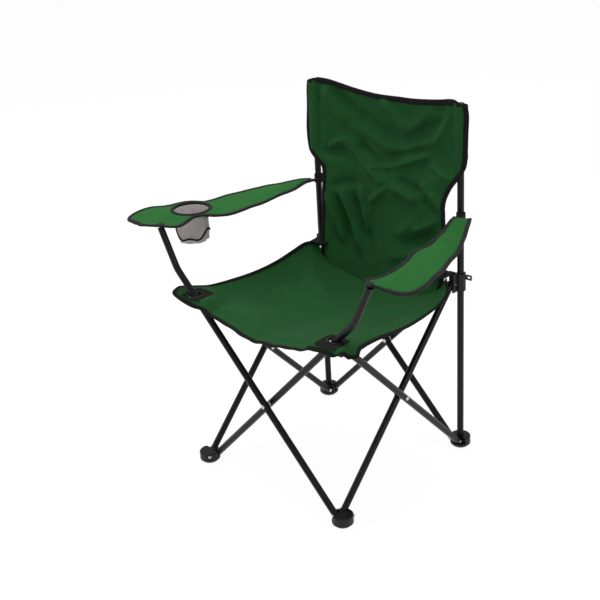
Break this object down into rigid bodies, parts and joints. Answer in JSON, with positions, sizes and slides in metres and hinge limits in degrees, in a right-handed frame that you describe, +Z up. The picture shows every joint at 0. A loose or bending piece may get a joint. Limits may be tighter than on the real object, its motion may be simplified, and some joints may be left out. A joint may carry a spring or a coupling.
{
  "type": "folding camp chair",
  "caption": "Folding camp chair: crossed steel tubes on four feet, hung fabric seat and back, fabric arms on bent posts, mesh cup holder in one arm",
  "frame": {"origin": "on the ground under the middle of the box around the open chair", "axes": "+Z up, the sitter faces -Y, +X to the sitter's left"},
  "size_m": [0.856, 0.4934, 0.872],
  "materials": {
    "powder_coat": "black powder coat, satin gloss",
    "black_plastic": "moulded, fine grain",
    "rivet_steel": "zinc plated",
    "eyelet_metal": "plated, worn",
    "nylon": "natural nylon",
    "seat_fabric": "coated polyester weave",
    "back_fabric": "coated polyester weave",
    "arm_fabric": "coated polyester weave",
    "black_webbing": "woven tape",
    "cup_mesh": "open knitted mesh"
  },
  "bodies": {
    "foot_front_left": {"foot_front_left": "black_plastic", "foot_rivets_front_left": "rivet_steel"},
    "right_post_tube": {"front_tube_right_post": "powder_coat", "crossing_rivet_front": "rivet_steel", "crossing_washer_front": "nylon"},
    "left_post_tube": {"front_tube_left_post": "powder_coat"},
    "foot_front_right": {"foot_front_right": "black_plastic", "foot_rivets_front_right": "rivet_steel"},
    "hub_front_right": {"hub_front_right": "black_plastic", "hub_rivets_front_right": "rivet_steel", "seat_patch_right": "black_webbing", "seat_eyelet_right": "eyelet_metal"},
    "hub_front_left": {"hub_front_left": "black_plastic", "hub_rivets_front_left": "rivet_steel", "seat_patch_left": "black_webbing", "seat_eyelet_left": "eyelet_metal", "seat_panel": "seat_fabric"},
    "left_outer_tube": {"left_tube_outer": "powder_coat", "crossing_rivet_left": "rivet_steel", "crossing_washer_left": "nylon"},
    "left_inner_tube": {"left_tube_inner": "powder_coat"},
    "rear_left": {"foot_rear_left": "black_plastic", "foot_rivets_rear_left": "rivet_steel", "upright_left": "powder_coat", "upright_cap_left": "black_plastic", "arm_loop_left": "black_webbing", "back_panel": "back_fabric"},
    "slider_left": {"slider_left": "black_plastic", "slider_rivets_left": "rivet_steel", "slider_pull_left": "black_plastic", "seat_strap_left": "black_webbing"},
    "right_inner_tube": {"right_tube_inner": "powder_coat", "crossing_rivet_right": "rivet_steel", "crossing_washer_right": "nylon"},
    "right_outer_tube": {"right_tube_outer": "powder_coat"},
    "rear_right": {"foot_rear_right": "black_plastic", "foot_rivets_rear_right": "rivet_steel", "upright_right": "powder_coat", "upright_cap_right": "black_plastic", "arm_loop_right": "black_webbing"},
    "slider_right": {"slider_right": "black_plastic", "slider_rivets_right": "rivet_steel", "slider_pull_right": "black_plastic", "seat_strap_right": "black_webbing"},
    "rear_outer_tube": {"rear_tube_outer": "powder_coat", "crossing_rivet_rear": "rivet_steel", "crossing_washer_rear": "nylon"},
    "rear_inner_tube": {"rear_tube_inner": "powder_coat"},
    "arm_tip_left": {"arm_cap_left": "black_plastic", "arm_left": "arm_fabric", "cup_ring": "black_webbing", "cup_pouch": "cup_mesh"},
    "arm_tip_right": {"arm_cap_right": "black_plastic", "arm_right": "arm_fabric"}
  },
  "joints": [
    {"name": "fold", "type": "hinge", "parent": "foot_front_left", "child": "right_post_tube", "pos_m": [-0.204, -0.2087, 0.02], "axis": [0, -1, 0], "range_deg": [0, 40], "deforming": ["seat_panel", "back_panel", "arm_left", "arm_right", "arm_loop_left", "arm_loop_right", "cup_ring", "cup_pouch", "seat_patch_left", "seat_patch_right", "seat_strap_left", "seat_strap_right"]},
    {"name": "cross_front", "type": "hinge", "parent": "right_post_tube", "child": "left_post_tube", "pos_m": [0, -0.2177, 0.23], "axis": [0, 1, 0], "range_deg": [0, 80]},
    {"name": "foot_front_right_pin", "type": "hinge", "parent": "left_post_tube", "child": "foot_front_right", "pos_m": [0.204, -0.2267, 0.02], "axis": [0, -1, 0], "range_deg": [0, 40]},
    {"name": "hub_front_right_pin", "type": "hinge", "parent": "right_post_tube", "child": "hub_front_right", "pos_m": [0.204, -0.2087, 0.44], "axis": [0, 1, 0], "range_deg": [0, 40]},
    {"name": "hub_front_left_pin", "type": "hinge", "parent": "left_post_tube", "child": "hub_front_left", "pos_m": [-0.204, -0.2267, 0.44], "axis": [0, -1, 0], "range_deg": [0, 40]},
    {"name": "left_outer_pin", "type": "hinge", "parent": "foot_front_left", "child": "left_outer_tube", "pos_m": [-0.2267, -0.204, 0.02], "axis": [1, 0, 0], "range_deg": [0, 40]},
    {"name": "cross_left", "type": "hinge", "parent": "left_outer_tube", "child": "left_inner_tube", "pos_m": [-0.2177, 0, 0.23], "axis": [-1, 0, 0], "range_deg": [0, 80]},
    {"name": "foot_rear_left_pin", "type": "hinge", "parent": "left_inner_tube", "child": "rear_left", "pos_m": [-0.2087, 0.204, 0.02], "axis": [1, 0, 0], "range_deg": [0, 40]},
    {"name": "slider_left_pin", "type": "hinge", "parent": "left_outer_tube", "child": "slider_left", "pos_m": [-0.2267, 0.204, 0.44], "axis": [-1, 0, 0], "range_deg": [0, 40]},
    {"name": "right_inner_pin", "type": "hinge", "parent": "foot_front_right", "child": "right_inner_tube", "pos_m": [0.2087, -0.204, 0.02], "axis": [1, 0, 0], "range_deg": [0, 40]},
    {"name": "cross_right", "type": "hinge", "parent": "right_inner_tube", "child": "right_outer_tube", "pos_m": [0.2177, 0, 0.23], "axis": [-1, 0, 0], "range_deg": [0, 80]},
    {"name": "foot_rear_right_pin", "type": "hinge", "parent": "right_outer_tube", "child": "rear_right", "pos_m": [0.2267, 0.204, 0.02], "axis": [1, 0, 0], "range_deg": [0, 40]},
    {"name": "slider_right_pin", "type": "hinge", "parent": "right_inner_tube", "child": "slider_right", "pos_m": [0.2087, 0.204, 0.44], "axis": [-1, 0, 0], "range_deg": [0, 40]},
    {"name": "rear_outer_pin", "type": "hinge", "parent": "rear_left", "child": "rear_outer_tube", "pos_m": [-0.204, 0.2267, 0.02], "axis": [0, -1, 0], "range_deg": [0, 40]},
    {"name": "cross_rear", "type": "hinge", "parent": "rear_outer_tube", "child": "rear_inner_tube", "pos_m": [0, 0.2177, 0.23], "axis": [0, 1, 0], "range_deg": [0, 80]},
    {"name": "arm_left_pin", "type": "hinge", "parent": "left_post_tube", "child": "arm_tip_left", "pos_m": [-0.31385, -0.2267, 0.60044], "axis": [0, -1, 0], "range_deg": [0, 40]},
    {"name": "arm_right_pin", "type": "hinge", "parent": "right_post_tube", "child": "arm_tip_right", "pos_m": [0.31385, -0.2087, 0.60044], "axis": [0, 1, 0], "range_deg": [0, 40]}
  ],
  "couplings": [
    {"joint": "cross_front", "follows": "fold", "ratio": 2},
    {"joint": "foot_front_right_pin", "follows": "fold", "ratio": 1},
    {"joint": "hub_front_right_pin", "follows": "fold", "ratio": 1},
    {"joint": "hub_front_left_pin", "follows": "fold", "ratio": 1},
    {"joint": "left_outer_pin", "follows": "fold", "ratio": 1},
    {"joint": "cross_left", "follows": "fold", "ratio": 2},
    {"joint": "foot_rear_left_pin", "follows": "fold", "ratio": 1},
    {"joint": "slider_left_pin", "follows": "fold", "ratio": 1},
    {"joint": "right_inner_pin", "follows": "fold", "ratio": 1},
    {"joint": "cross_right", "follows": "fold", "ratio": 2},
    {"joint": "foot_rear_right_pin", "follows": "fold", "ratio": 1},
    {"joint": "slider_right_pin", "follows": "fold", "ratio": 1},
    {"joint": "rear_outer_pin", "follows": "fold", "ratio": 1},
    {"joint": "cross_rear", "follows": "fold", "ratio": 2},
    {"joint": "arm_left_pin", "follows": "fold", "ratio": 1},
    {"joint": "arm_right_pin", "follows": "fold", "ratio": 1}
  ]
}
